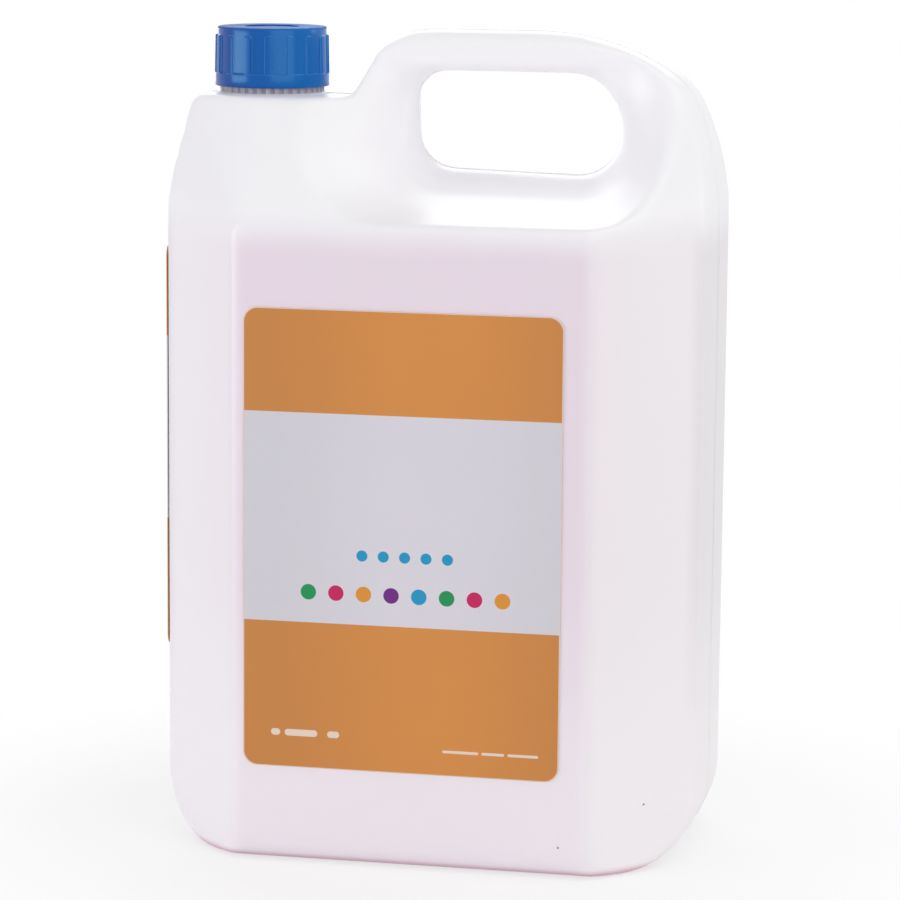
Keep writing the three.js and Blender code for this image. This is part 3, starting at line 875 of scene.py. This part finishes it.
def cap_profile():
    """Rows from the middle of the roof's underside, out, up and over to the middle of the top.

    Each row is (radius, height, share of the ribs' height that it may have).
    """
    low, high = CAP[0].z, CAP[1].z
    foot = CAP_BAND_RADIUS - CAP_RIB_PROUD

    def taper(z):
        share = (z - CAP_BAND_TOP) / (high - CAP_BAND_TOP)
        return foot + (CAP_TOP_RADIUS - foot) * share

    roof_and_bore = [
        (0.0, CAP_ROOF, 0), (CAP_BORE_RADIUS - 1.2 * MM, CAP_ROOF, 0),
        (CAP_BORE_RADIUS - 0.3 * MM, CAP_ROOF - 0.4 * MM, 0), (CAP_BORE_RADIUS, CAP_ROOF - 1.3 * MM, 0),
        (CAP_BORE_RADIUS, low + 0.6 * MM, 0), (CAP_BORE_RADIUS + 0.25 * MM, low + 0.1 * MM, 0)]
    band = [
        (CAP_BORE_RADIUS + 0.5 * MM, low, 0), (CAP_BAND_RADIUS - 0.5 * MM, low, 0),
        (CAP_BAND_RADIUS - 0.15 * MM, low + 0.15 * MM, 0), (CAP_BAND_RADIUS, low + 0.5 * MM, 0),
        (CAP_BAND_RADIUS, CAP_BAND_TOP - 0.5 * MM, 0),
        (CAP_BAND_RADIUS - 0.06 * MM, CAP_BAND_TOP - 0.2 * MM, 0)]
    ribs = [
        (foot + 0.2 * MM, CAP_BAND_TOP, 0.8), (foot + 0.04 * MM, CAP_BAND_TOP + 0.15 * MM, 0.96),
        (taper(CAP_BAND_TOP + 0.4 * MM), CAP_BAND_TOP + 0.4 * MM, 1)]
    plain_height = CAP_RIB_TOP - RIB_PLAIN_STOP - CAP_BAND_TOP
    heights = [CAP_BAND_TOP + share * plain_height for share in RIB_ROWS]
    for step in range(RIB_TOP_ROWS):
        below_end = RIB_TOP_ROW_STEP * (RIB_TOP_ROWS - 1 - step)
        heights.append(CAP_RIB_TOP + (RIB_TOP_ROW_END - below_end) * MM)
    ribs += [(taper(z), z, 1) for z in heights]
    top_edge = [
        (taper(high - 0.6 * MM), high - 0.6 * MM, 0), (CAP_TOP_RADIUS - 0.08 * MM, high - 0.28 * MM, 0),
        (CAP_TOP_RADIUS - 0.28 * MM, high - 0.07 * MM, 0), (CAP_TOP_RADIUS - 0.6 * MM, high, 0)]
    dip, floor = CAP_RECESS_RADIUS, CAP_RECESS_FLOOR
    recess = [
        (dip + 0.5 * (CAP_TOP_RADIUS - dip), high, 0), (dip + 0.15 * MM, high, 0),
        (dip + 0.04 * MM, high - 0.04 * MM, 0), (dip, high - 0.12 * MM, 0),
        (dip - 0.03 * MM, floor + 0.12 * MM, 0), (dip - 0.15 * MM, floor + 0.02 * MM, 0),
        (dip - 0.3 * MM, floor, 0), (0.5 * dip, floor, 0), (0.0, floor, 0)]
    return roof_and_bore + band + ribs + top_edge + recess


def rib_lift(across, z):
    """How far a rib stands out at a place, from 0 to 1: its top corners are rounded."""
    side = max(abs(across) - (CAP_RIB_HALF - CAP_RIB_CORNER), 0.0)
    up = max(z - (CAP_RIB_TOP - CAP_RIB_CORNER), 0.0)
    inside = CAP_RIB_CORNER - math.hypot(side, up)
    return float(smoothstep(inside, 0.0, CAP_RIB_EDGE))


def fine_cap(material):
    """The cap with round-topped ribs, a shallow recess in its top and its thread."""
    stops = [-stop for stop in reversed(RIB_COLUMNS)] + list(RIB_COLUMNS)
    columns = [(CAP_RIB_PITCH * (rib + 0.5 + stop), stop * CAP_RIB_PITCH * CAP_BAND_RADIUS)
               for rib in range(CAP_RIBS) for stop in stops]
    rows = cap_profile()
    points, faces = [], []
    for radius, z, proud in rows:
        for angle, across in columns:
            reach = radius + CAP_RIB_PROUD * proud * rib_lift(across, z)
            points.append((NECK_X + reach * math.cos(angle), reach * math.sin(angle), z))
    count = len(columns)
    for row in range(len(rows) - 1):
        for column in range(count):
            ahead = (column + 1) % count
            a, b = row * count + column, row * count + ahead
            faces.append((a, b, b + count, a + count))
    cap = object_from("cap_shell", points, faces)
    thread = thread_ridge("cap_thread", CAP_BORE_RADIUS, CAP_THREAD_CREST,
                          CAP_THREAD_START, CAP_THREAD_TURNS)
    boolean(cap, "UNION", thread)
    remove(thread)
    paint(cap, material)
    smooth(cap, CAP_SHARP)
    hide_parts("cap")
    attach(cap, "cap")


# Studio

FLOOR_REACH = 4.0
FLOOR_COLOUR = linear(243, 242, 244)

# The floor fades to plain white between these distances, and is part white nearer in
FLOOR_FADE = (0.09, 0.25)
FLOOR_NEAR_WHITE = 0.68

WORLD_STRENGTH = 0.48
HIGH_AIM = (0, 0, 0.2)
LOW_AIM = (0, 0, 0.15)


def seen_directly(tree):
    """1 for camera, glossy and transmission rays, which meet a plain white surround."""
    path = tree.nodes.new("ShaderNodeLightPath")
    seen = path.outputs["Is Camera Ray"]
    for kind in ("Is Glossy Ray", "Is Transmission Ray"):
        either = tree.nodes.new("ShaderNodeMath")
        either.operation = "MAXIMUM"
        tree.links.new(seen, either.inputs[0])
        tree.links.new(path.outputs[kind], either.inputs[1])
        seen = either.outputs[0]
    return seen


def make_floor():
    """A white floor that keeps a soft shadow close to the can."""
    mesh = bpy.data.meshes.new("floor")
    corners = [(x * FLOOR_REACH, y * FLOOR_REACH, 0) for x, y in ((-1, -1), (1, -1), (1, 1), (-1, 1))]
    mesh.from_pydata(corners, [], [(0, 1, 2, 3)])
    floor = mesh_object("floor", mesh)
    nodes = Nodes("floor")
    nodes.set(Base_Color=FLOOR_COLOUR, Roughness=0.9)
    white = nodes.add("ShaderNodeEmission")
    white.inputs["Strength"].default_value = 1.0
    away = nodes.add("ShaderNodeVectorMath", operation="LENGTH")
    nodes.link(nodes.place, away.inputs[0])
    far = nodes.math("MULTIPLY_ADD", nodes.ramp(away.outputs["Value"], *FLOOR_FADE),
                     1 - FLOOR_NEAR_WHITE, FLOOR_NEAR_WHITE)
    blend = nodes.add("ShaderNodeMixShader")
    nodes.link(nodes.math("MULTIPLY", seen_directly(nodes.tree), far), blend.inputs[0])
    nodes.link(nodes.shader.outputs[0], blend.inputs[1])
    nodes.link(white.outputs[0], blend.inputs[2])
    nodes.link(blend.outputs[0], nodes.output.inputs["Surface"])
    mesh.materials.append(nodes.material)


def make_world():
    """Even white light, seen as full white in reflections and behind the object."""
    world = bpy.data.worlds.new("world")
    bpy.context.scene.world = world
    world.use_nodes = True
    tree = world.node_tree
    tree.nodes.clear()
    mix = tree.nodes.new("ShaderNodeMixShader")
    out = tree.nodes.new("ShaderNodeOutputWorld")
    tree.links.new(seen_directly(tree), mix.inputs["Fac"])
    for slot, level in ((1, WORLD_STRENGTH), (2, 1.0)):
        sky = tree.nodes.new("ShaderNodeBackground")
        sky.inputs["Color"].default_value = (1, 1, 1, 1)
        sky.inputs["Strength"].default_value = level
        tree.links.new(sky.outputs[0], mix.inputs[slot])
    tree.links.new(mix.outputs[0], out.inputs["Surface"])


def area_light(name, place, aim, size, power, colour=(1, 1, 1)):
    """A rectangular lamp of the given width and height in metres, and power in watts."""
    data = bpy.data.lights.new(name, "AREA")
    data.color = colour
    data.shape = "RECTANGLE"
    data.size, data.size_y = size
    data.energy = power
    light = bpy.data.objects.new(name, data)
    bpy.context.collection.objects.link(light)
    light.location = place
    light.rotation_euler = (Vector(aim) - Vector(place)).to_track_quat("-Z", "Y").to_euler()


def make_lamps():
    """Soft boxes at both sides, in front, above and behind."""
    area_light("left_box", (-1.12, -0.74, 0.24), HIGH_AIM, (0.8, 0.46), 4.4, (0.95, 0.94, 1.0))
    area_light("right_box", (1.2, 0.5, 0.35), HIGH_AIM, (0.25, 0.5), 0.8)
    area_light("front_box", (0.85, -1.3, 0.5), LOW_AIM, (1.4, 1.4), 7.2)
    area_light("top_box", (0.55, -0.1, 1.5), LOW_AIM, (1.2, 1.2), 5.7)
    area_light("back_box", (-0.5, 1.5, 0.7), LOW_AIM, (1.3, 1.3), 7.5)


make_camera()
fine_bottle(bottle_material())
fine_cap(cap_material())
dress("soap", soap_material())
dress("cap_liner", foam_material())
dress("front_label", label_material("front_print", *FRONT_LABEL, 0, front_shapes(), LABEL_EDGE))
fine_side_label()

make_floor()
make_world()
make_lamps()
bpy.context.scene.view_settings.view_transform = "Standard"
